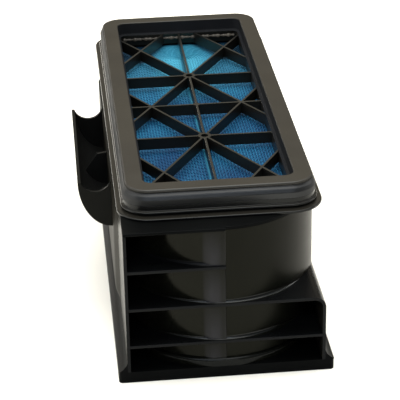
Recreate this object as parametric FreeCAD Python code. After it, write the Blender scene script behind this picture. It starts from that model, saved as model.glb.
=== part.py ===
"""Obround channel-flow air filter in its moulded housing shell.

Millimetres, +Z up.  The origin is the centre of the base, on the resting plane.
+Y is the long axis: the lapped nose of the shell and the open corner shelves face -Y,
and the pull handle is on the -X flank.
"""
import FreeCAD, Part
import math
import os

V = FreeCAD.Vector

# ---- driving dimensions -------------------------------------------------------------
opening_width = 96.0            # clear air opening inside the outlet seal
opening_length = 292.6
opening_corner = 4.0
tube_radius = 63.7              # outer radius of the two half-round ends of the shell
tube_length = 356.0             # overall length of the obround shell
shell_wall = 2.2
level_pitch = 26.6              # height between one corner shelf and the next
levels = 4                      # base to top deck
box_half_length = 180.0         # half length of the squared-off lower box
box_half_width = tube_radius

seal_height = 10.0              # resilient seal above its frame
seal_face_width = 12.0          # width of the flat sealing face
seal_corner = 15.4
seal_edge_round = 2.6
frame_height = 8.1              # seal frame, deck to underside of the seal
lip_reach = 5.5                 # lip of the seal frame, outward from the seal's side
lip_end_reach = 7.1
lip_thickness = 1.6
lip_round = 0.6
neck_reach = 0.8                # collar above the lip, outward from the seal's side
collar_bead_bottom = 3.2        # rounded bead of the collar, heights above the deck
collar_bead_top = 6.0
collar_bead_reach = 2.4
collar_bead_round = 1.2
groove_inset = 1.0              # groove between the bead and the seal

grille_rib = 1.5
grille_height = 8.1
grille_rim = 2.0
grille_inner_corner = 2.5
hub_row = 55.4                  # from the middle of the lattice to each hub
node_column = 32.0              # from the centre rib to each side node
hub_radius = 4.6
hub_hole_radius = 2.5
centre_boss_radius = 2.4        # where the ribs cross in the middle
inlet_disc_radius = 9.0         # gate disc in the middle of the inlet guard
diagonal_rows = 2.2             # hub rows that a diagonal rib spans each way

plate_thickness = 2.0
skirt_half_width = 69.5
skirt_height = 7.6
skirt_corner = 2.5
skirt_flare = 6.7               # height over which the skirt runs out of the flanks
flare_curve = ((3.0, 0.3), (1.0, 0.65))     # reach past the flank at a share of that height
bead_reach = 2.6                # rounded bead round the foot of the shell
bead_height = 5.6
box_edge_round = 7.0            # rounded upper edge of the squared lower box
lap_width = 9.0                 # raised lap where the two half shells overlap
lap_step = 0.9

media_radius = 59.4
wrap_thickness = 0.7
core_thickness = 3.0
potting_depth = 9.0
end_gap = 0.8                   # between the inlet guard and the media face
deck_gap = 0.1                  # between the media and the deck above it
core_end_gap = 2.0

pad_thickness = 2.8             # raised pad that carries the handle
pad_front = -116.0
pad_rear = 89.0
pad_foot = 22.0
pad_chamfer = 1.6
handle_front = -100.2
handle_rear = 24.6
handle_reach = 21.8             # from the pad to the outside of the rim
handle_depth = 32.5
handle_wall = 2.3
handle_drop = 1.2               # rim, below the top face of the deck
handle_dip_radius = 10.1
handle_dip_rise = 3.0
gusset_drop = 6.5               # top of the middle gusset at the pad, below the rim
gusset_ledge = 6.5              # short ledge beside the pad, and its fall
gusset_ledge_fall = 1.0
gusset_run = 15.5               # where its slope meets the trough's wall
gusset_low = 20.0

# ---- worked-out dimensions ------------------------------------------------------------
deck_top = levels * level_pitch
deck_bottom = deck_top - plate_thickness
frame_top = deck_top + frame_height
seal_top = frame_top + seal_height
end_centre = tube_length / 2 - tube_radius
seal_half_width = opening_width / 2 + seal_face_width
seal_half_length = opening_length / 2 + seal_face_width
media_bottom = grille_height + end_gap
media_top = deck_bottom - deck_gap


# ---- shapes ------------------------------------------------------------------------------
def obround(radius, z0, z1):
    """Upright racetrack prism whose end centres are those of the shell."""
    a = V(-radius, -end_centre, z0)
    b = V(-radius, end_centre, z0)
    c = V(radius, end_centre, z0)
    d = V(radius, -end_centre, z0)
    rear = Part.Arc(b, V(0, end_centre + radius, z0), c).toShape()
    front = Part.Arc(d, V(0, -end_centre - radius, z0), a).toShape()
    wire = Part.Wire([Part.makeLine(a, b), rear, Part.makeLine(c, d), front])
    return Part.Face(wire).extrude(V(0, 0, z1 - z0))


def slab(x0, x1, y0, y1, z0, z1):
    return Part.makeBox(x1 - x0, y1 - y0, z1 - z0, V(x0, y0, z0))


def rounded_slab(half_x, half_y, corner, z0, z1):
    """Upright prism with a centred rounded-rectangle plan."""
    body = slab(-half_x, half_x, -half_y, half_y, z0, z1)
    upright = [e for e in body.Edges if abs(e.tangentAt(e.FirstParameter).z) > 0.9]
    return body.makeFillet(corner, upright)


def prism_y(points, y0, y1):
    """Straight-sided XZ outline swept along Y."""
    corners = [V(x, y0, z) for x, z in points]
    face = Part.Face(Part.makePolygon(corners + [corners[0]]))
    return face.extrude(V(0, y1 - y0, 0))


def flat_edges(shape, z):
    """Edges of a shape that lie wholly in the plane at height z."""
    return [e for e in shape.Edges if all(abs(v.Z - z) < 1e-4 for v in e.Vertexes)]


def mirrored(shape, normal):
    return shape.mirror(V(0, 0, 0), normal)


# ---- shell --------------------------------------------------------------------------------
def lap_strips():
    """Raised strips on the left half shell that cover the joint at nose and tail."""
    outside = obround(tube_radius + lap_step, skirt_height + bead_height, deck_bottom)
    ring = outside.cut(obround(tube_radius, 0, deck_top))
    return ring.common(slab(-lap_width, 0, -tube_length, tube_length, 0, deck_top))


def shell_halves():
    """Two half tubes; the left one laps over the right one's edge at nose and tail."""
    outer = obround(tube_radius, 0, deck_bottom)
    tube = outer.cut(obround(tube_radius - shell_wall, -1, deck_bottom + 1))
    left = tube.common(slab(-tube_length, 0, -tube_length, tube_length, -1, deck_top))
    right = tube.common(slab(0, tube_length, -tube_length, tube_length, -1, deck_top))
    return left.fuse(lap_strips()).removeSplitter(), right


def front_foot_bead():
    """Rounded bead in front of the nose, where the shell stands in the base."""
    z0, z1 = skirt_height, skirt_height + bead_height
    ring = obround(tube_radius + bead_reach, z0, z1)
    ring = ring.makeFillet(bead_reach * 0.95, flat_edges(ring, z1))
    ring = ring.cut(obround(tube_radius, z0 - 1, z1 + 1))
    inside = box_half_width - plate_thickness
    return ring.common(slab(-inside, inside, -box_half_length, 0, z0, z1))


# ---- squared-off corners -----------------------------------------------------------------------
def tube_core(z0, z1):
    return obround(tube_radius, z0, z1)


def front_shelf(level, x0, x1):
    """Flat shelf that fills the corners in front of the half-round nose."""
    z1 = level * level_pitch
    z0 = z1 - plate_thickness
    plate = slab(x0, x1, -box_half_length, -end_centre, z0, z1)
    return plate.cut(tube_core(z0 - 1, z1 + 1)).cut(lap_strips())


def edge_plate(z1):
    """Front corner plate on the +X side, its upper edge rolled over into a shelf."""
    x1 = box_half_width
    x0 = x1 - plate_thickness
    r = box_edge_round
    y0 = -box_half_length
    mid = math.sqrt(0.5)
    ri = r - plate_thickness
    cx, cz = x1 - r, z1 - r
    pts = [V(x1, y0, skirt_height), V(x1, y0, cz), V(cx, y0, z1)]
    inner = [V(cx, y0, z1 - plate_thickness), V(x0, y0, cz), V(x0, y0, skirt_height)]
    edges = [
        Part.makeLine(pts[0], pts[1]),
        Part.Arc(pts[1], V(cx + r * mid, y0, cz + r * mid), pts[2]).toShape(),
        Part.makeLine(pts[2], inner[0]),
        Part.Arc(inner[0], V(cx + ri * mid, y0, cz + ri * mid), inner[1]).toShape(),
        Part.makeLine(inner[1], inner[2]),
        Part.makeLine(inner[2], pts[0]),
    ]
    plate = Part.Face(Part.Wire(edges)).extrude(V(0, box_half_length - end_centre, 0))
    return plate.cut(tube_core(0, z1 + 1))


def left_front_plate():
    """Full-height corner plate below the handle side of the deck."""
    x0 = -box_half_width
    plate = slab(x0, x0 + plate_thickness, -box_half_length, -end_centre, skirt_height, deck_bottom)
    return plate.cut(tube_core(0, deck_top))


def base_skirt():
    """Flared rectangular foot of the housing, flush with the shelves at both ends."""
    z1 = skirt_height
    body = rounded_slab(skirt_half_width, box_half_length, skirt_corner, 0, z1)
    for side in (-1, 1):
        outline = [(side * box_half_width, z1), (side * skirt_half_width, z1)]
        for reach, share in flare_curve:
            outline.append((side * (box_half_width + reach), z1 + share * skirt_flare))
        outline.append((side * box_half_width, z1 + skirt_flare))
        body = body.fuse(prism_y(outline, -box_half_length, box_half_length))
    return body.cut(tube_core(-1, deck_top)).removeSplitter()


def top_deck():
    """Deck that closes the shell, with its squared corner over the handle side."""
    z0, z1 = deck_bottom, deck_top
    plate = obround(tube_radius, z0, z1)
    plate = plate.fuse(slab(-box_half_width, 0, -box_half_length, -end_centre, z0, z1))
    return plate.cut(outlet_hole(z0 - 1, z1 + 1)).removeSplitter()


# ---- outlet: seal, its frame and the grille ----------------------------------------------------------
def outlet_hole(z0, z1):
    return rounded_slab(opening_width / 2, opening_length / 2, opening_corner, z0, z1)


def collar_slab(reach, z0, z1):
    """Prism that stands out from the seal's side by reach all round."""
    return rounded_slab(seal_half_width + reach, seal_half_length + reach, seal_corner + reach, z0, z1)


def seal_frame():
    """Collar on the deck: lip, neck, rounded bead and the groove under the seal."""
    lip_top = deck_top + lip_thickness
    bead_bottom = deck_top + collar_bead_bottom
    bead_top = deck_top + collar_bead_top
    lip = rounded_slab(
        seal_half_width + lip_reach, seal_half_length + lip_end_reach,
        seal_corner + lip_reach, deck_top, lip_top)
    lip = lip.makeFillet(lip_round, flat_edges(lip, lip_top))
    neck = collar_slab(neck_reach, lip_top, bead_bottom)
    bead = collar_slab(collar_bead_reach, bead_bottom, bead_top)
    bead = bead.makeFillet(collar_bead_round, flat_edges(bead, bead_bottom) + flat_edges(bead, bead_top))
    groove = collar_slab(-groove_inset, bead_top, frame_top)
    stack = lip.fuse(neck).fuse(bead).fuse(groove).removeSplitter()
    return stack.cut(outlet_hole(deck_top - 1, frame_top + 1))


def outlet_seal():
    """Moulded urethane ring, flat on top, with a rounded outer edge."""
    ring = rounded_slab(seal_half_width, seal_half_length, seal_corner, frame_top, seal_top)
    ring = ring.makeFillet(seal_edge_round, flat_edges(ring, seal_top))
    return ring.cut(outlet_hole(frame_top - 1, seal_top + 1))


def rib_between(x0, y0, x1, y1, z0, z1, thickness):
    """Straight upright rib along a line in plan."""
    length = math.hypot(x1 - x0, y1 - y0)
    rib = slab(0, length, -thickness / 2, thickness / 2, z0, z1)
    rib.rotate(V(0, 0, 0), V(0, 0, 1), math.degrees(math.atan2(y1 - y0, x1 - x0)))
    rib.translate(V(x0, y0, 0))
    return rib


def lattice(z0, z1):
    """Triangular guard: centre rib, cross ribs and 60-degree diagonals through two hubs."""
    reach = tube_length
    ribs = [rib_between(0, -reach / 2, 0, reach / 2, z0, z1, grille_rib)]
    for row in (-1, 0, 1):
        ribs.append(rib_between(-reach / 2, row * hub_row, reach / 2, row * hub_row, z0, z1, grille_rib))
    run = diagonal_rows * hub_row
    for row in (-3, -1, 1, 3):
        for side in (-1, 1):
            dx = side * run * node_column / hub_row
            y = row * hub_row
            ribs.append(rib_between(-dx, y - run, dx, y + run, z0, z1, grille_rib))
    body = ribs[0].multiFuse(ribs[1:])
    for row in (-1, 1):
        body = body.fuse(Part.makeCylinder(hub_radius, z1 - z0, V(0, row * hub_row, z0)))
    body = body.fuse(Part.makeCylinder(centre_boss_radius, z1 - z0, V(0, 0, z0)))
    for row in (-1, 1):
        body = body.cut(Part.makeCylinder(hub_hole_radius, z1 - z0 + 2, V(0, row * hub_row, z0 - 1)))
    return body


def outlet_grille():
    z0, z1 = frame_top - grille_height, frame_top
    outside = outlet_hole(z0, z1)
    inside = rounded_slab(
        opening_width / 2 - grille_rim, opening_length / 2 - grille_rim, grille_inner_corner, z0 - 1, z1 + 1)
    rim = outside.cut(inside)
    return rim.fuse(lattice(z0, z1).common(outside)).removeSplitter()


def inlet_grille():
    """Guard over the inlet face, flush with the resting plane."""
    radius = tube_radius - shell_wall
    outside = obround(radius, 0, grille_height)
    rim = outside.cut(obround(radius - grille_rim, -1, grille_height + 1))
    body = rim.fuse(lattice(0, grille_height).common(outside))
    gate_disc = Part.makeCylinder(inlet_disc_radius, grille_height)
    return body.fuse(gate_disc).removeSplitter()


# ---- inside the shell ----------------------------------------------------------------------------
def winding_core():
    y = end_centre - core_end_gap
    return slab(-core_thickness / 2, core_thickness / 2, -y, y, media_bottom, media_top)


def media_pack():
    """Wound fluted media, plain outside shape."""
    return obround(media_radius, media_bottom, media_top).cut(winding_core())


def media_wrap():
    outer = obround(media_radius + wrap_thickness, media_bottom, media_top)
    return outer.cut(obround(media_radius, media_bottom - 1, media_top + 1))


def potting(z0, z1):
    """Bonding bead between the wrapped media and the shell."""
    outer = obround(tube_radius - shell_wall, z0, z1)
    return outer.cut(obround(media_radius + wrap_thickness, z0 - 1, z1 + 1))


# ---- handle -----------------------------------------------------------------------------------------
def quarter_ellipse(reach, depth, x_wall, z_rim, y0, y1):
    """Prism along Y: quarter ellipse hung below the rim, flat against the wall."""
    top = V(x_wall, y0, z_rim)
    ellipse = Part.Ellipse(V(0, 0, 0), depth, reach)
    arc = Part.ArcOfEllipse(ellipse, 0, math.pi / 2).toShape()
    turn = FreeCAD.Matrix()
    turn.A11, turn.A12, turn.A13 = 0, -1, 0
    turn.A21, turn.A22, turn.A23 = 0, 0, -1
    turn.A31, turn.A32, turn.A33 = -1, 0, 0
    turn.A14, turn.A24, turn.A34 = x_wall, y0, z_rim
    arc.transformShape(turn)
    low = V(x_wall, y0, z_rim - depth)
    out = V(x_wall - reach, y0, z_rim)
    wire = Part.Wire(Part.__sortEdges__([arc, Part.makeLine(low, top), Part.makeLine(top, out)]))
    return Part.Face(wire).extrude(V(0, y1 - y0, 0))


def handle_pad():
    x0 = -tube_radius - pad_thickness
    pad = slab(x0, -tube_radius, pad_front, pad_rear, pad_foot, deck_bottom)
    face_edges = [e for e in pad.Edges if all(abs(v.X - x0) < 1e-6 for v in e.Vertexes)]
    return pad.makeChamfer(pad_chamfer, face_edges)


def pull_handle():
    """Open-topped trough: a curved outer wall, two end walls and a middle gusset."""
    x_wall = -tube_radius - pad_thickness
    z_rim = deck_top - handle_drop
    outer = quarter_ellipse(handle_reach, handle_depth, x_wall, z_rim, handle_front, handle_rear)
    inner = quarter_ellipse(
        handle_reach - handle_wall, handle_depth - handle_wall, x_wall, z_rim,
        handle_front + handle_wall, handle_rear - handle_wall)
    body = outer.cut(inner)
    gusset_front = (handle_front + handle_rear - handle_wall) / 2
    gusset_rear = gusset_front + handle_wall
    trough = quarter_ellipse(
        handle_reach - handle_wall / 2, handle_depth - handle_wall / 2, x_wall, z_rim,
        gusset_front, gusset_rear)
    web = prism_y([
        (x_wall, z_rim - gusset_drop), (x_wall - gusset_ledge, z_rim - gusset_drop - gusset_ledge_fall),
        (x_wall - gusset_run, z_rim - gusset_low), (x_wall - handle_reach, z_rim - gusset_low),
        (x_wall - handle_reach, z_rim - handle_depth), (x_wall, z_rim - handle_depth)],
        gusset_front, gusset_rear)
    body = body.fuse(trough.common(web))
    axis = V(x_wall - handle_dip_radius, handle_front - 1, z_rim + handle_dip_rise)
    span = handle_rear - handle_front + 2
    dip = Part.makeCylinder(handle_dip_radius, span, axis, V(0, 1, 0))
    return body.cut(dip).removeSplitter()


# ---- assembly -------------------------------------------------------------------------------------------
def build():
    parts = {}
    parts["left_shell"], parts["right_shell"] = shell_halves()
    parts["top_deck"] = top_deck()
    parts["seal_frame"] = seal_frame()
    parts["outlet_seal"] = outlet_seal()
    parts["outlet_grille"] = outlet_grille()
    parts["inlet_grille"] = inlet_grille()
    parts["media_pack"] = media_pack()
    parts["winding_core"] = winding_core()
    parts["media_wrap"] = media_wrap()
    parts["outlet_potting"] = potting(media_top - potting_depth, media_top)
    parts["inlet_potting"] = potting(grille_height, grille_height + potting_depth)
    parts["base_skirt"] = base_skirt()
    parts["front_foot_bead"] = front_foot_bead()
    parts["rear_foot_bead"] = mirrored(front_foot_bead(), V(0, 1, 0))
    inside = box_half_width - plate_thickness
    rolled = box_half_width - box_edge_round
    parts["left_front_plate"] = left_front_plate()
    parts["front_shelf_upper"] = front_shelf(3, -inside, 0)
    parts["front_shelf_middle"] = front_shelf(2, -inside, rolled)
    parts["front_shelf_lower"] = front_shelf(1, -inside, inside)
    right_plate = edge_plate(2 * level_pitch)
    rear_right = mirrored(right_plate, V(0, 1, 0))
    parts["right_front_plate"] = right_plate
    parts["right_rear_plate"] = rear_right
    parts["left_rear_plate"] = mirrored(rear_right, V(1, 0, 0))
    parts["rear_shelf_middle"] = mirrored(front_shelf(2, -rolled, rolled), V(0, 1, 0))
    parts["rear_shelf_lower"] = mirrored(front_shelf(1, -inside, inside), V(0, 1, 0))
    parts["handle_pad"] = handle_pad()
    parts["pull_handle"] = pull_handle()
    return parts


def main():
    os.makedirs("parts", exist_ok=True)
    for name, shape in build().items():
        print(name, len(shape.Solids), shape.isValid(), round(shape.Volume / 1000, 2), "cm3")
        shape.exportStep("parts/" + name + ".step")


main()
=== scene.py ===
"""Looks of the obround air filter in its moulded housing shell.

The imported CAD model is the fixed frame.  All sizes are metres in the row frame: the origin is
the centre of the base, +Y runs away from the open corner shelves, and the handle is on -X.
"""
import math
import random

import bmesh
import bpy
from mathutils import Matrix, Vector


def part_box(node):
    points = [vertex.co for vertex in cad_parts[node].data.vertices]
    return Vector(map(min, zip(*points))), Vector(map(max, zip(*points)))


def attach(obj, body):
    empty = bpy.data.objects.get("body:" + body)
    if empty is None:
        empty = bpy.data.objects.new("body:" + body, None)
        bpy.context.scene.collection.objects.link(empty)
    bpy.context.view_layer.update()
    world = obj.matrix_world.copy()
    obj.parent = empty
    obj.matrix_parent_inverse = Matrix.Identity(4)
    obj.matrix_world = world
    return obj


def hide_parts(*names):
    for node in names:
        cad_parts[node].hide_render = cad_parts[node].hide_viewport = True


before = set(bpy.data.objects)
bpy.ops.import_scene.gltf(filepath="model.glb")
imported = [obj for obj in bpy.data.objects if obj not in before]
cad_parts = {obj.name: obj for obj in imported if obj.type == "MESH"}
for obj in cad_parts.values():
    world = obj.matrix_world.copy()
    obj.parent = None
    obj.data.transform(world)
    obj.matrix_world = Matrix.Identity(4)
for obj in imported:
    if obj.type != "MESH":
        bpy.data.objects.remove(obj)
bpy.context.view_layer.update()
BODY = "root"
MM = 0.001

# ---- sizes read from the frame ---------------------------------------------------------------
shell_low, shell_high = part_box("right_shell")
deck_low, deck_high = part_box("top_deck")
lip_low, lip_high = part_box("seal_frame")
seal_low, seal_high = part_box("outlet_seal")
media_low, media_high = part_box("media_pack")
rim_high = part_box("outlet_grille")[1]
foot_bead_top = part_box("front_foot_bead")[1].z

TUBE_R = shell_high.x
END_CENTRE = shell_high.y - TUBE_R
SEAL_X, SEAL_Y = seal_high.x, seal_high.y
OPEN_X, OPEN_Y = rim_high.x, rim_high.y
MEDIA_R = media_high.x
SEAL_CORNER = 15.4 * MM
OPEN_CORNER = 4.0 * MM
WALL = 2.2 * MM
LAP_WIDTH = 15.0 * MM           # raised lap of the left half shell, with its run-out
LAP_STEP = 0.9 * MM
GUARD_RIM = 2.0 * MM
FLASH_DROP = 3.2 * MM           # squeezed-out urethane, below the top of the guard
HUB_Y = 55.4 * MM               # from the middle of the lattice to a hub
NODE_X = 32.0 * MM              # side node of the lattice
NODE_Y = 2 * HUB_Y
PITCH = deck_high.z / 4         # from one corner shelf to the next
COVE = 2.2 * MM                 # fillet between the nose and a shelf

# Shares of a surface's direction at which the painted sheen on sideways faces and the dust on upward faces
# begin and are complete.
SHEEN_START, SHEEN_FULL = 0.62, 0.98          # sideways
SETTLE_START, SETTLE_FULL = 0.9, 0.99       # upward

random.seed(7)


# ---- mesh helpers ----------------------------------------------------------------------------
def arc_points(cx, cy, radius, start, end, steps):
    """Points of a plan arc, angles in degrees, both ends included."""
    points = []
    for i in range(steps + 1):
        a = math.radians(start + (end - start) * i / steps)
        points.append((cx + radius * math.cos(a), cy + radius * math.sin(a)))
    return points


def obround_ring(radius, z, steps=40):
    """Closed racetrack loop round the shell's end centres."""
    points = arc_points(0, END_CENTRE, radius, 0, 180, steps)
    points += arc_points(0, -END_CENTRE, radius, 180, 360, steps)
    return [Vector((x, y, z)) for x, y in points]


def rounded_ring(half_x, half_y, corner, z, steps=10):
    """Closed rounded-rectangle loop."""
    corner = max(corner, 0.2 * MM)
    cx, cy = half_x - corner, half_y - corner
    points = arc_points(cx, cy, corner, 0, 90, steps)
    points += arc_points(-cx, cy, corner, 90, 180, steps)
    points += arc_points(-cx, -cy, corner, 180, 270, steps)
    points += arc_points(cx, -cy, corner, 270, 360, steps)
    return [Vector((x, y, z)) for x, y in points]


def softened(corners, steps=4):
    """Closed outline in (d, z) with each corner (d, z, radius) rounded by its radius."""
    out = []
    count = len(corners)
    for i, (x, z, radius) in enumerate(corners):
        p = Vector((x, z))
        a = Vector(corners[i - 1][:2]) - p
        b = Vector(corners[(i + 1) % count][:2]) - p
        if radius <= 0 or a.length < 1e-9 or b.length < 1e-9:
            out.append((x, z))
            continue
        a.normalize()
        b.normalize()
        half = a.angle(b) / 2
        if half > math.radians(89):
            out.append((x, z))
            continue
        setback = radius / math.tan(half)
        centre = p + (a + b).normalized() * (radius / math.sin(half))
        start, end = p + a * setback - centre, p + b * setback - centre
        turn = start.angle_signed(end)
        for k in range(steps + 1):
            v = start.copy()
            v.rotate(Matrix.Rotation(-turn * k / steps, 2))
            out.append(tuple(centre + v))
    return out


def finish_mesh(name, bm, material, replaced=(), smooth_angle=35.0):
    """Turns a bmesh into a riding, shaded piece."""
    bmesh.ops.remove_doubles(bm, verts=bm.verts, dist=1e-6)
    bmesh.ops.recalc_face_normals(bm, faces=bm.faces)
    mesh = bpy.data.meshes.new(name)
    bm.to_mesh(mesh)
    bm.free()
    mesh.polygons.foreach_set("use_smooth", [True] * len(mesh.polygons))
    mesh.set_sharp_from_angle(angle=math.radians(smooth_angle))
    mesh.materials.append(material)
    obj = bpy.data.objects.new(name, mesh)
    bpy.context.scene.collection.objects.link(obj)
    weighted = obj.modifiers.new("flat_faces", "WEIGHTED_NORMAL")
    weighted.keep_sharp = True
    weighted.weight = 80
    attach(obj, BODY)
    if replaced:
        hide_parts(*replaced)
    return obj


def add_loft(bm, rings, closed=True):
    """Quads between loops of equal length; closed joins the last loop to the first."""
    loops = [[bm.verts.new(p) for p in ring] for ring in rings]
    pairs = list(zip(loops, loops[1:]))
    if closed:
        pairs.append((loops[-1], loops[0]))
    for low, high in pairs:
        for i in range(len(low)):
            j = (i + 1) % len(low)
            bm.faces.new((low[i], low[j], high[j], high[i]))
    return loops


def add_strip(bm, inner, outer, low, high):
    """Upright wall between two closed plan lines of equal length: two sides and the end at high."""
    rows = []
    for line, z in ((inner, low), (inner, high), (outer, high), (outer, low)):
        rows.append([bm.verts.new((x, y, z)) for x, y in line])
    count = len(inner)
    for a, b in zip(rows, rows[1:]):
        for i in range(count):
            j = (i + 1) % count
            bm.faces.new((a[i], a[j], b[j], b[i]))


def bevel_sharp(bm, width, segments=2, angle=35.0):
    """Rounds every edge sharper than an angle."""
    sharp = [e for e in bm.edges if len(e.link_faces) == 2 and e.calc_face_angle(0) > math.radians(angle)]
    bmesh.ops.bevel(
        bm, geom=sharp, offset=width, segments=segments, profile=0.6,
        affect="EDGES", clamp_overlap=True, offset_type="OFFSET")


def refined(node, material, width, segments=2, angle=35.0):
    """A copy of a CAD node with its flat facets merged and its edges rounded."""
    bm = bmesh.new()
    bm.from_mesh(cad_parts[node].data)
    bmesh.ops.remove_doubles(bm, verts=bm.verts, dist=5e-6)
    bmesh.ops.dissolve_limit(
        bm, angle_limit=math.radians(0.4), verts=bm.verts, edges=bm.edges, delimit={"NORMAL"})
    bevel_sharp(bm, width, segments, angle)
    return finish_mesh(node + "_finish", bm, material, [node])


# ---- materials -------------------------------------------------------------------------------
def new_material(name):
    """A node material and its parts: material, nodes, links and shader."""
    mat = bpy.data.materials.new(name)
    mat.use_nodes = True
    nodes = mat.node_tree.nodes
    return mat, nodes, mat.node_tree.links, nodes["Principled BSDF"]


def noise_node(nodes, links, coords, scale, detail=3.0, rough=0.5):
    """Noise over the piece; a scale of 20 gives marks of about 5 cm."""
    tex = nodes.new("ShaderNodeTexNoise")
    tex.inputs["Scale"].default_value = scale
    tex.inputs["Detail"].default_value = detail
    tex.inputs["Roughness"].default_value = rough
    links.new(coords, tex.inputs["Vector"])
    return tex.outputs["Fac"]


def ramp_node(nodes, links, fac, stops):
    """Colour ramp through (place, colour) stops."""
    ramp = nodes.new("ShaderNodeValToRGB")
    ramp.color_ramp.elements[0].position = stops[0][0]
    ramp.color_ramp.elements[0].color = stops[0][1]
    ramp.color_ramp.elements[1].position = stops[-1][0]
    ramp.color_ramp.elements[1].color = stops[-1][1]
    for place, colour in stops[1:-1]:
        element = ramp.color_ramp.elements.new(place)
        element.color = colour
    links.new(fac, ramp.inputs["Fac"])
    return ramp.outputs["Color"]


def map_node(nodes, links, value, from_low, from_high, to_low=0.0, to_high=1.0, smooth=False, clamp=True):
    """Carries a value from one range to another."""
    node = nodes.new("ShaderNodeMapRange")
    node.interpolation_type = "SMOOTHSTEP" if smooth else "LINEAR"
    node.clamp = clamp
    node.inputs["From Min"].default_value = from_low
    node.inputs["From Max"].default_value = from_high
    node.inputs["To Min"].default_value = to_low
    node.inputs["To Max"].default_value = to_high
    links.new(value, node.inputs["Value"])
    return node.outputs["Result"]


def range_node(nodes, links, fac, low, high):
    """Spreads a factor of 0 to 1 over a range."""
    return map_node(nodes, links, fac, 0.0, 1.0, low, high)


def position_range(nodes, links, coordinate, low, high, to_low=0.0, to_high=1.0):
    """Soft step between two places along one axis."""
    return map_node(nodes, links, coordinate, low, high, to_low, to_high, smooth=True)


def position_scaled(nodes, links, coordinate, low, high):
    """Unclamped share of the way from low to high."""
    return map_node(nodes, links, coordinate, low, high, clamp=False)


def math_node(nodes, links, operation, first, second=None):
    """One arithmetic step on a socket; second is a socket or a number."""
    node = nodes.new("ShaderNodeMath")
    node.operation = operation
    links.new(first, node.inputs[0])
    if isinstance(second, float):
        node.inputs[1].default_value = second
    elif second is not None:
        links.new(second, node.inputs[1])
    return node.outputs["Value"]


def colour_mix(nodes, links, blend, fac, first, second):
    """Mixes two colours; fac is a number or a socket, second a colour or a socket."""
    node = nodes.new("ShaderNodeMix")
    node.data_type = "RGBA"
    node.blend_type = blend
    if isinstance(fac, float):
        node.inputs["Factor"].default_value = fac
    else:
        links.new(fac, node.inputs["Factor"])
    links.new(first, node.inputs["A"])
    if isinstance(second, tuple):
        node.inputs["B"].default_value = second
    else:
        links.new(second, node.inputs["B"])
    return node.outputs["Result"]


def object_axes(nodes, links):
    """The place of a point on the piece, as X, Y and Z sockets."""
    coords = nodes.new("ShaderNodeTexCoord")
    split = nodes.new("ShaderNodeSeparateXYZ")
    links.new(coords.outputs["Object"], split.inputs["Vector"])
    return tuple(split.outputs[axis] for axis in "XYZ")


def bump_node(nodes, links, height, strength, distance, previous=None):
    """Bump in metres, laid over an earlier one if there is one."""
    node = nodes.new("ShaderNodeBump")
    node.inputs["Strength"].default_value = strength
    node.inputs["Distance"].default_value = distance
    links.new(height, node.inputs["Height"])
    if previous is not None:
        links.new(previous, node.inputs["Normal"])
    return node.outputs["Normal"]


def scaled_coords(nodes, links, scale):
    """Places on the piece, stretched along each axis."""
    coords = nodes.new("ShaderNodeTexCoord")
    mapping = nodes.new("ShaderNodeMapping")
    mapping.inputs["Scale"].default_value = scale
    links.new(coords.outputs["Object"], mapping.inputs["Vector"])
    return mapping.outputs["Vector"]


def normal_axis(nodes, links, axis):
    """One component of the surface's own direction."""
    geometry = nodes.new("ShaderNodeNewGeometry")
    split = nodes.new("ShaderNodeSeparateXYZ")
    links.new(geometry.outputs["Normal"], split.inputs["Vector"])
    return split.outputs[axis]


def moulded_plastic(name, colour, roughness, level, wave=0.1, grain=0.06, spread=0.05,
                    tint=(0.98, 0.98, 0.80), flank=None, dust_and_sheen=None):
    """Moulded thermoplastic: slow sink waves, fine grain, handling marks in the gloss.

    flank is the colour of a painted sheen on faces that look sideways.
    dust_and_sheen is the colour of the dirt that gathers on faces that look up.
    """
    mat, nodes, links, shader = new_material(name)
    coords = scaled_coords(nodes, links, (1, 1, 1))
    dark = tuple(c * 0.7 for c in colour) + (1,)
    light = tuple(c * 1.5 for c in colour) + (1,)
    tone = noise_node(nodes, links, coords, 22.0, 4.0)
    body = ramp_node(nodes, links, tone, [(0.3, dark), (0.75, light)])
    # Painted sheen: faces that look sideways take the paler flank colour.
    if flank:
        sideways = math_node(nodes, links, "ABSOLUTE", normal_axis(nodes, links, "X"))
        sheen_share = position_range(nodes, links, sideways, SHEEN_START, SHEEN_FULL)
        body = colour_mix(nodes, links, "MIX", sheen_share, body, flank + (1,))
    if dust_and_sheen:
        level_face = position_range(nodes, links, normal_axis(nodes, links, "Z"), SETTLE_START, SETTLE_FULL)
        body = colour_mix(nodes, links, "MIX", level_face, body, dust_and_sheen + (1,))
    links.new(body, shader.inputs["Base Color"])
    smudge = noise_node(nodes, links, scaled_coords(nodes, links, (1, 1, 2.6)), 34.0, 5.0, 0.6)
    gloss = range_node(nodes, links, smudge, roughness - spread, roughness + spread)
    links.new(gloss, shader.inputs["Roughness"])
    slow = noise_node(nodes, links, scaled_coords(nodes, links, (1, 1, 0.5)), 26.0, 2.0)
    fine = noise_node(nodes, links, coords, 900.0, 2.0)
    first = bump_node(nodes, links, slow, wave, 0.9 * MM)
    links.new(bump_node(nodes, links, fine, grain, 0.05 * MM, first), shader.inputs["Normal"])
    shader.inputs["Specular IOR Level"].default_value = level
    shader.inputs["Specular Tint"].default_value = tint + (1,)
    return mat


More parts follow.
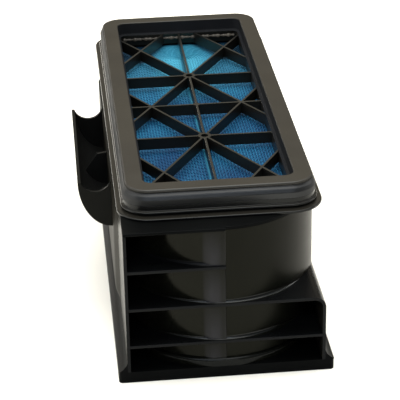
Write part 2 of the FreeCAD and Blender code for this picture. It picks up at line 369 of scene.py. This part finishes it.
def urethane(name, low, high, roughness, level, black_below=None):
    """Moulded urethane skin: matte, faintly pebbled, with soft colour drift.

    black_below is the height under which the skin is black and glossier, but duller on the long sides.
    """
    mat, nodes, links, shader = new_material(name)
    coords = scaled_coords(nodes, links, (1, 1, 1))
    tone = noise_node(nodes, links, coords, 30.0, 5.0)
    body = ramp_node(nodes, links, tone, [(0.25, low + (1,)), (0.8, high + (1,))])
    smudge = noise_node(nodes, links, coords, 60.0, 4.0)
    gloss = range_node(nodes, links, smudge, roughness - 0.07, roughness + 0.07)
    # Brown tone above the given height, black below it.
    if black_below:
        height = object_axes(nodes, links)[2]
        below_share = position_range(nodes, links, height, black_below - 0.8 * MM, black_below, 1.0, 0.0)
        black = (0.003, 0.0032, 0.0034, 1)
        body = colour_mix(nodes, links, "MIX", below_share, body, black)
        gloss = math_node(nodes, links, "MULTIPLY", gloss, range_node(nodes, links, below_share, 1.0, 0.85))
        sideways = math_node(nodes, links, "ABSOLUTE", normal_axis(nodes, links, "X"))
        gloss = math_node(nodes, links, "MULTIPLY", gloss, range_node(nodes, links, sideways, 1.0, 2.2))
    links.new(body, shader.inputs["Base Color"])
    links.new(gloss, shader.inputs["Roughness"])
    pebble = noise_node(nodes, links, coords, 1400.0, 2.0)
    drift = noise_node(nodes, links, coords, 70.0, 2.0)
    first = bump_node(nodes, links, drift, 0.15, 0.4 * MM)
    links.new(bump_node(nodes, links, pebble, 0.2, 0.06 * MM, first), shader.inputs["Normal"])
    shader.inputs["Specular IOR Level"].default_value = level
    shader.inputs["Specular Tint"].default_value = (0.94, 0.97, 1.0, 1)
    return mat


def media_paper(name, top_z, depth):
    """Blue fine-fibre media: pale cut edges, painted shade darkening down into the flutes, a painted sheen
    over the middle towards the far end, painted shadow in the far end corners.
    """
    mat, nodes, links, shader = new_material(name)
    x, y, z = object_axes(nodes, links)
    height = map_node(nodes, links, z, top_z - depth, top_z)
    # Painted shade: the colour darkens with depth below the cut face, down into the flutes.
    flute_shade = (0.001, 0.028, 0.085, 1)
    middle = (0.003, 0.054, 0.142, 1)
    edge = (0.013, 0.135, 0.28, 1)
    shade = ramp_node(nodes, links, height, [(0.0, flute_shade), (0.955, middle), (1.0, edge)])
    cloud = noise_node(nodes, links, scaled_coords(nodes, links, (1, 0.6, 1)), 30.0, 3.0)
    tint = ramp_node(nodes, links, cloud, [(0.38, (0.42, 0.55, 0.62, 1)), (0.66, (1.25, 1.3, 1.1, 1))])
    colour = colour_mix(nodes, links, "MULTIPLY", 1.0, shade, tint)
    # Painted sheen: a pale wash over the middle of the face, growing towards the far end.
    far = position_range(nodes, links, y, 20 * MM, 100 * MM)
    aside = math_node(nodes, links, "ABSOLUTE", x)
    centre = position_range(nodes, links, aside, 4 * MM, 30 * MM, 0.72, 0.22)
    dust_and_sheen = math_node(nodes, links, "MULTIPLY", far, centre)
    sheen_colour = (0.07, 0.39, 0.54, 1)
    colour = colour_mix(nodes, links, "MIX", dust_and_sheen, colour, sheen_colour)
    # Painted shadow: darker colour in the far end corners of the face, outside the last lattice node.
    slant = math_node(nodes, links, "ADD", position_scaled(nodes, links, aside, 0.0, NODE_X),
                      position_scaled(nodes, links, y, NODE_Y, NODE_Y + HUB_Y))
    corner = math_node(nodes, links, "MULTIPLY", position_range(nodes, links, slant, 0.85, 1.1, 0.0, 0.85),
                       position_range(nodes, links, y, NODE_Y - 5 * MM, NODE_Y + 3 * MM))
    corner_shade = (0.003, 0.012, 0.03, 1)
    colour = colour_mix(nodes, links, "MIX", corner, colour, corner_shade)
    links.new(colour, shader.inputs["Base Color"])
    fibre = noise_node(nodes, links, scaled_coords(nodes, links, (1, 1, 1)), 1800.0, 3.0)
    links.new(bump_node(nodes, links, fibre, 0.4, 0.05 * MM), shader.inputs["Normal"])
    shader.inputs["Roughness"].default_value = 0.7
    shader.inputs["Specular IOR Level"].default_value = 0.2
    return mat


SHELL_COLOUR = (0.0030, 0.0032, 0.0024)
SIDE_SHEEN = (0.010, 0.0094, 0.0072)      # painted sheen on the shell's sideways faces
RIGHT = moulded_plastic("right_plastic", SHELL_COLOUR, 0.36, 0.075, wave=0.08, grain=0.03,
                        flank=SIDE_SHEEN)
SHELF = moulded_plastic("shelf_plastic", (0.0026, 0.0028, 0.003), 0.28, 0.085, wave=0.08, grain=0.03,
                        spread=0.03, tint=(0.93, 0.97, 1.0), flank=SIDE_SHEEN)
LEFT = moulded_plastic("left_plastic", SHELL_COLOUR, 0.17, 0.085, wave=0.08, grain=0.03, spread=0.03,
                       flank=SIDE_SHEEN)
PAD = moulded_plastic("pad_plastic", SHELL_COLOUR, 0.48, 0.085, wave=0.08, grain=0.03, tint=(1.0, 0.94, 0.8),
                      flank=SIDE_SHEEN)
SKIRT = moulded_plastic("skirt_plastic", (0.0016, 0.0018, 0.0018), 0.4, 0.03, wave=0.08, grain=0.03,
                        tint=(0.9, 0.95, 1.0))
FOOT = moulded_plastic("foot_plastic", SHELL_COLOUR, 0.2, 0.12, wave=0.04, grain=0.02, spread=0.03,
                       tint=(0.9, 0.95, 1.0))
BEAD = moulded_plastic("bead_plastic", SHELL_COLOUR, 0.2, 0.25, wave=0.04, grain=0.02, spread=0.03,
                       tint=(0.93, 0.97, 1.0))
HANDLE = moulded_plastic("handle_plastic", (0.0048, 0.005, 0.005), 0.42, 0.07)
FRAME = moulded_plastic("frame_plastic", (0.0026, 0.0027, 0.003), 0.25, 0.2, grain=0.03,
                        tint=(0.97, 1.0, 0.97), dust_and_sheen=(0.012, 0.011, 0.009))
GRILLE = moulded_plastic("grille_plastic", (0.005, 0.0049, 0.0045), 0.34, 0.36, wave=0.06, grain=0.2)
SEAL = urethane("seal_urethane", (0.0075, 0.006, 0.0034), (0.015, 0.0125, 0.0075), 0.38, 0.36,
                black_below=seal_high.z - 1.2 * MM)
POTTING = urethane("potting_urethane", (0.10, 0.09, 0.075), (0.2, 0.185, 0.16), 0.45, 0.4)
CORE = urethane("core_urethane", (0.012, 0.11, 0.20), (0.03, 0.20, 0.30), 0.4, 0.4)
FLASH = urethane("flash_urethane", (0.004, 0.004, 0.004), (0.075, 0.066, 0.054), 0.4, 0.2)
THROAT = urethane("throat_urethane", (0.008, 0.009, 0.0105), (0.013, 0.0135, 0.015), 0.7, 0.03)
MEDIA = media_paper("outlet_media", media_high.z, 7 * MM)
MEDIA_IN = media_paper("inlet_media", media_low.z, -7 * MM)


# ---- shell -----------------------------------------------------------------------------------
def shell_half(side, node, material):
    """Half obround wall, open at top and foot."""
    low, high = shell_low.z, deck_low.z
    steps = 96
    line = arc_points(0, 0, 1.0, 270, 270 + 90 * side, steps)
    columns = [(c, s, -END_CENTRE) for c, s in line] + [(c, -s, END_CENTRE) for c, s in reversed(line)]
    bm = bmesh.new()
    loops = []
    for radius, z in ((TUBE_R, low), (TUBE_R, high), (TUBE_R - WALL, high), (TUBE_R - WALL, low)):
        loops.append([bm.verts.new((c * radius, s * radius + y, z)) for c, s, y in columns])
    for a, b in zip(loops, loops[1:] + loops[:1]):
        for i in range(len(columns) - 1):
            bm.faces.new((a[i], a[i + 1], b[i + 1], b[i]))
    for i in (0, -1):
        bm.faces.new([loop[i] for loop in loops])
    return finish_mesh(node + "_finish", bm, material, [node], 50.0)


def lap_plastic_painted_highlight():
    """Lap of the joint: the shell's plastic with a painted highlight, a pale patchy band across the lap,
    brightest just above each shelf.
    """
    mat, nodes, links, shader = new_material("lap_plastic_painted_highlight")
    x, _, z = object_axes(nodes, links)
    across = position_scaled(nodes, links, x, -LAP_WIDTH, 0.0)
    # Painted highlight: share of the pale colour across the lap, from its root to its free edge.
    share_and_highlight = ((0.02, 0.0), (0.15, 0.65), (0.4, 1.0), (0.68, 0.8), (0.84, 0.35), (1.0, 0.45))
    band = ramp_node(nodes, links, across, [(share, (lap_highlight, lap_highlight, lap_highlight, 1)) for share, lap_highlight in share_and_highlight])
    blotch = noise_node(nodes, links, scaled_coords(nodes, links, (1, 1, 0.35)), 60.0, 4.0, 0.6)
    lap_highlight = math_node(nodes, links, "MULTIPLY", band, range_node(nodes, links, blotch, 0.4, 1.5))
    # Painted highlight: brightest just above each shelf, fading upwards to the next.
    rise = math_node(nodes, links, "FLOORED_MODULO", z, PITCH)
    fade = map_node(nodes, links, rise, 0.0, PITCH, 1.3, 0.12)
    patchy = math_node(nodes, links, "MULTIPLY", lap_highlight, fade)
    # Colour of the painted highlight.
    highlight_colour = (0.021, 0.021, 0.025, 1)
    body = ramp_node(nodes, links, patchy, [(0.0, SHELL_COLOUR + (1,)), (1.0, highlight_colour)])
    links.new(body, shader.inputs["Base Color"])
    smudge = noise_node(nodes, links, scaled_coords(nodes, links, (1, 1, 2.6)), 34.0, 5.0, 0.6)
    links.new(range_node(nodes, links, smudge, 0.14, 0.2), shader.inputs["Roughness"])
    shader.inputs["Specular IOR Level"].default_value = 0.085
    shader.inputs["Specular Tint"].default_value = (0.98, 0.98, 0.80, 1)
    return mat


def lap_strip(end, name):
    """Lap of the left half over the right one: crisp free edge, softly run-out root."""
    edge_round = 0.25 * MM
    run_out = 6.0 * MM
    low, high = foot_bead_top - 0.3 * MM, deck_low.z
    profile = [(0.0, -0.2 * MM), (0.0, LAP_STEP - edge_round), (-edge_round, LAP_STEP)]
    profile.append((run_out - LAP_WIDTH, LAP_STEP))
    for k in range(1, 7):
        t = k / 6
        profile.append((run_out - LAP_WIDTH - run_out * t, LAP_STEP * (1 - t * t * (3 - 2 * t)) - 0.02 * MM))
    profile.append((-LAP_WIDTH, -0.2 * MM))
    bm = bmesh.new()
    rows = []
    for z in (low, high):
        row = []
        for across, height in profile:
            a = across / TUBE_R
            r = TUBE_R + height
            row.append(bm.verts.new((r * math.sin(a), end * (END_CENTRE + r * math.cos(a)), z)))
        rows.append(row)
    for i in range(len(profile)):
        j = (i + 1) % len(profile)
        bm.faces.new((rows[0][i], rows[0][j], rows[1][j], rows[1][i]))
    bm.faces.new(rows[0])
    bm.faces.new(rows[1])
    return finish_mesh(name, bm, LAP, ["left_shell"], 30.0)


def cove_ring(bm, z, centre_y, start, end, steps=72):
    """Concave fillet where the round nose stands on a shelf; it grows, then dies away at its end."""
    loops = []
    for i in range(steps + 1):
        share = i / steps
        a = math.radians(start + (end - start) * share)
        c, s = math.cos(a), math.sin(a)
        size = COVE * (0.25 + 1.15 * share) * min(1.0, 0.05 + 5.0 * (1 - share))
        outline = [(TUBE_R - 0.3 * MM, z), (TUBE_R - 0.3 * MM, z + size)]
        for k in range(7):
            t = math.radians(180 + 90 * k / 6)
            outline.append((TUBE_R + size + size * math.cos(t), z + size + size * math.sin(t)))
        loops.append([bm.verts.new((c * r, s * r + centre_y, h)) for r, h in outline])
    for a, b in zip(loops, loops[1:]):
        for i in range(len(a)):
            j = (i + 1) % len(a)
            bm.faces.new((a[i], a[j], b[j], b[i]))
    bm.faces.new(loops[0])
    bm.faces.new(loops[-1])


def shelf_coves():
    """The fillets of all shelves, front and rear, from the left end to just short of the right plate."""
    far_end = 0.82 * TUBE_R
    for end, names in ((-1, ("upper", "middle", "lower")), (1, ("middle", "lower"))):
        for name in names:
            node = ("front_shelf_" if end < 0 else "rear_shelf_") + name
            low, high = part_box(node)
            ends = []
            for x in (low.x, min(high.x, far_end)):
                ends.append(end * math.degrees(math.acos(max(-1, min(1, x / (TUBE_R + COVE))))))
            bm = bmesh.new()
            cove_ring(bm, high.z - 0.02 * MM, end * END_CENTRE, ends[0], ends[1])
            finish_mesh(node + "_cove", bm, SHELF if name == "upper" else BEAD)


def handle_pad():
    """Raised pad under the handle; its edges run out gently into the flank."""
    low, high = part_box("handle_pad")
    thick = high.x - low.x
    radius = 5.0 * MM
    inset_mm_and_height = ((0.0, -0.1), (1.0, 0.02), (3.5, 0.25), (6.5, 0.6), (9.0, 0.88), (11.5, 1.0))
    bm = bmesh.new()
    rings = []
    for inset, height in inset_mm_and_height:
        inset *= MM
        x = high.x - thick * height
        y0, y1, z0 = low.y + inset, high.y - inset, low.z + 0.5 * inset
        ring = [Vector((x, y1, high.z)), Vector((x, y0, high.z))]
        for y, first in ((y0 + radius, 180), (y1 - radius, 270)):
            for py, pz in arc_points(y, z0 + radius, radius, first, first + 90, 6):
                ring.append(Vector((x, py, pz)))
        rings.append(ring)
    loops = add_loft(bm, rings, False)
    bm.faces.new(loops[0])
    bm.faces.new(loops[-1])
    return finish_mesh("handle_pad_finish", bm, PAD, ["handle_pad"], 40.0)


# ---- outlet ----------------------------------------------------------------------------------
def collar_ring(offset, z):
    """Loop round the seal; the lip stands further out at the ends than at the sides."""
    stretch = (lip_high.y - SEAL_Y) / (lip_high.x - SEAL_X)
    end_offset = offset * stretch if offset > 0 else offset
    corner = SEAL_CORNER + (offset if offset > 0 else 0.76 * offset)
    return rounded_ring(SEAL_X + offset, SEAL_Y + end_offset, corner, z, 12)


def seal_frame():
    """Collar under the seal: lip, bead and neck, each corner as (outward, height, rounding)."""
    base, top = lip_low.z, lip_high.z
    reach = lip_high.x - SEAL_X
    width = SEAL_X - OPEN_X
    outline = softened([
        (-width, base, 0), (reach, base, 0.3 * MM), (reach, base + 1.6 * MM, 0.6 * MM),
        (0.9 * MM, base + 1.9 * MM, 0.9 * MM), (0.9 * MM, base + 2.7 * MM, 0.4 * MM),
        (2.6 * MM, base + 2.9 * MM, 0.8 * MM), (2.6 * MM, base + 4.6 * MM, 0.8 * MM),
        (1.2 * MM, base + 4.8 * MM, 0.4 * MM), (1.2 * MM, seal_low.z, 0.1 * MM),
        (-1.0 * MM, seal_low.z, 0.1 * MM), (-1.0 * MM, top, 0.2 * MM), (-width, top, 0)], 6)
    bm = bmesh.new()
    add_loft(bm, [collar_ring(d, z) for d, z in outline])
    return finish_mesh("seal_frame_finish", bm, FRAME, ["seal_frame"], 60.0)


def outlet_seal():
    """Urethane ring with a bulging side, a crease and a flat top; corners as in seal_frame."""
    base, top = seal_low.z, seal_high.z
    width = SEAL_X - OPEN_X
    tall = top - base
    outline = softened([
        (-width, base, 0), (1.2 * MM, base, 0.1 * MM), (1.4 * MM, base + 0.38 * tall, 1.5 * MM),
        (0.5 * MM, base + 0.62 * tall, 2.0 * MM), (-1.4 * MM, base + 0.8 * tall, 0.7 * MM),
        (-0.6 * MM, base + 0.83 * tall, 0.2 * MM), (-0.6 * MM, top, 1.1 * MM), (-width, top, 0.6 * MM)], 6)
    bm = bmesh.new()
    add_loft(bm, [collar_ring(d, z) for d, z in outline])
    return finish_mesh("outlet_seal_finish", bm, SEAL, ["outlet_seal"], 60.0)


def seal_throat():
    """Dull inner wall of the seal, run down over the guard's rim."""
    base, top = seal_low.z + 0.1 * MM, seal_high.z - 0.9 * MM
    wall = OPEN_X - SEAL_X
    foot = wall - GUARD_RIM
    outline = softened([
        (wall + 0.3 * MM, base, 0), (foot, base, 0), (foot, base + 0.3 * MM, 0.1 * MM),
        (wall - 0.1 * MM, base + 0.8 * MM, 1.2 * MM), (wall - 0.1 * MM, top, 0), (wall + 0.3 * MM, top, 0)])
    bm = bmesh.new()
    add_loft(bm, [collar_ring(d, z) for d, z in outline])
    return finish_mesh("seal_throat", bm, THROAT, ["outlet_seal"], 60.0)


def seal_flash():
    """Ragged bead of urethane squeezed out along the guard's rim at both ends of the opening."""
    bm = bmesh.new()
    steps = 160
    span = 2 * (OPEN_X - OPEN_CORNER)
    for end in (-1, 1):
        rows = []
        for i in range(steps + 1):
            x = -span / 2 + span * i / steps
            ragged = 0.5 + 0.5 * math.sin(i * 0.61) * math.sin(i * 0.23 + 1.0)
            reach = (0.7 + 1.4 * ragged) * MM
            rise = (0.5 + 1.0 * ragged) * MM
            wall = end * (OPEN_Y - GUARD_RIM + 0.2 * MM)
            profile = [(wall, -rise), (wall - end * reach, -0.6 * rise), (wall - end * reach, 0.2 * rise),
                       (wall - end * 0.6 * reach, 0.8 * rise), (wall, rise)]
            rows.append([bm.verts.new((x, y, rim_high.z - FLASH_DROP + z)) for y, z in profile])
        for a, b in zip(rows, rows[1:]):
            for k in range(len(a)):
                j = (k + 1) % len(a)
                bm.faces.new((a[k], a[j], b[j], b[k]))
        bm.faces.new(rows[0])
        bm.faces.new(rows[-1])
    return finish_mesh("seal_flash", bm, FLASH, (), 60.0)


# ---- fluted media ----------------------------------------------------------------------------
def layer_line(radius, wave, waves, shift):
    """Plan line of one wound layer; wave is the height of its corrugation."""
    samples = 4
    straight = 2 * END_CENTRE
    turn = math.pi * radius
    total = 2 * (straight + turn)
    count = waves * samples
    points = []
    for i in range(count):
        s = (total * i / count + shift) % total
        r = radius + wave * 0.5 * (1 + math.sin(2 * math.pi * i / samples))
        if s < straight:
            points.append((r, -END_CENTRE + s))
        elif s < straight + turn:
            a = (s - straight) / radius
            points.append((r * math.cos(a), END_CENTRE + r * math.sin(a)))
        elif s < 2 * straight + turn:
            points.append((-r, END_CENTRE - (s - straight - turn)))
        else:
            a = math.pi + (s - 2 * straight - turn) / radius
            points.append((r * math.cos(a), -END_CENTRE + r * math.sin(a)))
    return points


def add_band(bm, first, second, z):
    """Flat band between two closed plan lines of equal length."""
    rows = [[bm.verts.new((x, y, z)) for x, y in line] for line in (first, second)]
    for i in range(len(first)):
        j = (i + 1) % len(first)
        bm.faces.new((rows[0][i], rows[0][j], rows[1][j], rows[1][i]))


def fluted_face(name, face_z, inward, material):
    """Cut face of the wound pack: liners, a corrugated sheet between each pair, sealed flutes."""
    layer = 2.0 * MM
    pitch = 5.0 * MM
    sheet = 0.26 * MM
    depth = 5.0 * MM
    proud = 0.35 * MM               # liners stand above the corrugated sheets
    closed = 0.5 * MM               # sealant in the flutes that are closed at this face
    open_end = 0.8 * MM             # how far light reaches into the open ones
    core = 1.7 * MM
    back = face_z + inward * depth
    low, high = min(face_z, back), max(face_z, back)
    layers = int((MEDIA_R - core) / layer)
    bm = bmesh.new()
    for i in range(layers + 1):
        radius = core + i * layer
        inside = [(p.x, p.y) for p in obround_ring(radius, 0, 24)]
        outside = [(p.x, p.y) for p in obround_ring(radius + sheet, 0, 24)]
        add_strip(bm, inside, outside, low, high)
        if i < layers:
            room = layer - 2 * sheet
            length = 4 * END_CENTRE + 2 * math.pi * radius
            waves = round(length / pitch)
            shift = random.uniform(0, pitch)
            base = layer_line(radius + sheet, 0.0, waves, shift)
            line = layer_line(radius + sheet, room - sheet, waves, shift)
            thick = layer_line(radius + 2 * sheet, room - sheet, waves, shift)
            outer = layer_line(radius + layer, 0.0, waves, shift)
            ends = sorted((face_z + inward * proud, back))
            add_strip(bm, line, thick, ends[0], ends[1])
            add_band(bm, base, line, face_z + inward * closed)
            add_band(bm, thick, outer, face_z + inward * open_end)
    return finish_mesh(name, bm, material, ["media_pack"], 50.0)


def media_body():
    """The pack between its two fluted faces."""
    margin = 4.9 * MM               # it begins just inside the fluted faces
    bm = bmesh.new()
    rings = [obround_ring(MEDIA_R - 0.2 * MM, z) for z in (media_low.z + margin, media_high.z - margin)]
    loops = add_loft(bm, rings, False)
    bm.faces.new(loops[0])
    bm.faces.new(loops[-1])
    return finish_mesh("media_body", bm, MEDIA, ["media_pack"], 50.0)


# ---- the pieces ------------------------------------------------------------------------------
LAP = lap_plastic_painted_highlight()
shell_half(-1, "left_shell", LEFT)
shell_half(1, "right_shell", RIGHT)
lap_strip(-1, "nose_lap")
lap_strip(1, "tail_lap")
shelf_coves()
handle_pad()
seal_frame()
outlet_seal()
seal_throat()
seal_flash()
refined("outlet_grille", GRILLE, 0.3 * MM)
refined("inlet_grille", GRILLE, 0.3 * MM)
refined("pull_handle", HANDLE, 0.7 * MM, 3)
refined("top_deck", SKIRT, 0.5 * MM)
refined("base_skirt", SKIRT, 0.5 * MM, 2, 20.0)
refined("front_foot_bead", FOOT, 0.45 * MM)
refined("rear_foot_bead", FOOT, 0.45 * MM)
for node_name in ("left_front_plate", "right_front_plate", "left_rear_plate", "right_rear_plate",
                  "front_shelf_upper", "front_shelf_middle", "front_shelf_lower",
                  "rear_shelf_middle", "rear_shelf_lower"):
    refined(node_name, SHELF, 0.45 * MM)
media_body()
fluted_face("media_outlet_face", media_high.z, -1, MEDIA)
fluted_face("media_inlet_face", media_low.z, 1, MEDIA_IN)
for node_name, material in (("winding_core", CORE), ("media_wrap", POTTING),
                            ("outlet_potting", POTTING), ("inlet_potting", POTTING)):
    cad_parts[node_name].data.materials.clear()
    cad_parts[node_name].data.materials.append(material)


# ---- stage, light and camera -----------------------------------------------------------------
def stage_floor():
    """Plain pale floor just under the foot."""
    mat, nodes, links, shader = new_material("floor_paint")
    coords = scaled_coords(nodes, links, (1, 1, 1))
    tone = noise_node(nodes, links, coords, 3.0, 2.0)
    links.new(ramp_node(nodes, links, tone, [(0.2, (0.91, 0.885, 0.82, 1)), (0.8, (0.94, 0.915, 0.85, 1))]),
              shader.inputs["Base Color"])
    shader.inputs["Roughness"].default_value = 0.9
    bpy.ops.mesh.primitive_plane_add(size=8, location=(0, 0, -0.0002))
    floor = bpy.context.object
    floor.name = "floor"
    floor.data.materials.append(mat)


def area_light(name, place, target, size_x, size_y, power, colour):
    data = bpy.data.lights.new(name, "AREA")
    data.shape = "RECTANGLE"
    data.size = size_x
    data.size_y = size_y
    data.energy = power
    data.color = colour
    lamp = bpy.data.objects.new(name, data)
    lamp.location = place
    lamp.rotation_euler = (Vector(target) - Vector(place)).to_track_quat("-Z", "Y").to_euler()
    lamp.visible_camera = False
    bpy.context.scene.collection.objects.link(lamp)
    return lamp


def studio_world():
    """Pale surroundings: warm and bright behind and beside, cool overhead, dim in front."""
    world = bpy.data.worlds.new("studio")
    bpy.context.scene.world = world
    world.use_nodes = True
    nodes, links = world.node_tree.nodes, world.node_tree.links
    back = nodes["Background"]
    coords = nodes.new("ShaderNodeTexCoord")
    split = nodes.new("ShaderNodeSeparateXYZ")
    links.new(coords.outputs["Generated"], split.inputs["Vector"])
    depth = map_node(nodes, links, split.outputs["Y"], -0.6, 0.9)
    front = (0.2, 0.2, 0.22, 1)
    beside = (0.45, 0.43, 0.38, 1)
    behind = (0.6, 0.53, 0.41, 1)
    overhead = (0.7, 0.75, 0.8, 1)
    level = ramp_node(nodes, links, depth, [(0.0, front), (0.5, beside), (1.0, behind)])
    lift = map_node(nodes, links, split.outputs["Z"], 0.45, 0.8)
    sky = colour_mix(nodes, links, "MIX", lift, level, overhead)
    horizon = map_node(nodes, links, split.outputs["Z"], 0.05, 0.38, 0.15, 1.0)
    dimmed = colour_mix(nodes, links, "MULTIPLY", 1.0, sky, horizon)
    links.new(dimmed, back.inputs["Color"])
    back.inputs["Strength"].default_value = 1.0


def photo_camera():
    """Long lens, slightly left of the nose, looking down and rolled a degree."""
    data = bpy.data.cameras.new("camera")
    data.sensor_width = 36.0
    data.lens = 150.0
    camera = bpy.data.objects.new("camera", data)
    yaw, pitch, roll = (math.radians(a) for a in (5.265, 26.05, -1.109))
    forward = Vector((math.sin(yaw) * math.cos(pitch), math.cos(yaw) * math.cos(pitch), -math.sin(pitch)))
    right = Vector((math.cos(yaw), -math.sin(yaw), 0))
    up = right.cross(forward)
    side = right * math.cos(roll) + up * math.sin(roll)
    top = up * math.cos(roll) - right * math.sin(roll)
    turn = Matrix((side, top, -forward)).transposed()
    place = Vector((-0.09908, -1.08764, 0.57247))
    camera.matrix_world = Matrix.Translation(place) @ turn.to_4x4()
    bpy.context.scene.collection.objects.link(camera)
    bpy.context.scene.camera = camera


stage_floor()
studio_world()
area_light("top_softbox", (0.05, 0.1, 1.6), (0, 0, 0.1), 1.6, 1.6, 44, (1, 0.97, 0.9))
area_light("front_softbox", (-0.15, -1.1, 0.9), (0, -0.1, 0.1), 0.9, 0.4, 5.5, (0.85, 0.92, 1))
area_light("left_softbox", (-1.3, -0.1, 0.7), (-0.1, 0, 0.05), 0.9, 0.9, 12, (1, 0.98, 0.94))
area_light("right_softbox", (1.4, 0.2, 0.85), (0, 0, 0.06), 0.4, 0.4, 6, (1, 0.98, 0.95))
area_light("back_panel", (-0.9, 1.75, 0.42), (-0.05, 0, 0.02), 0.5, 0.35, 7.5, (1, 0.96, 0.88))
photo_camera()
bpy.context.scene.view_settings.view_transform = "Standard"
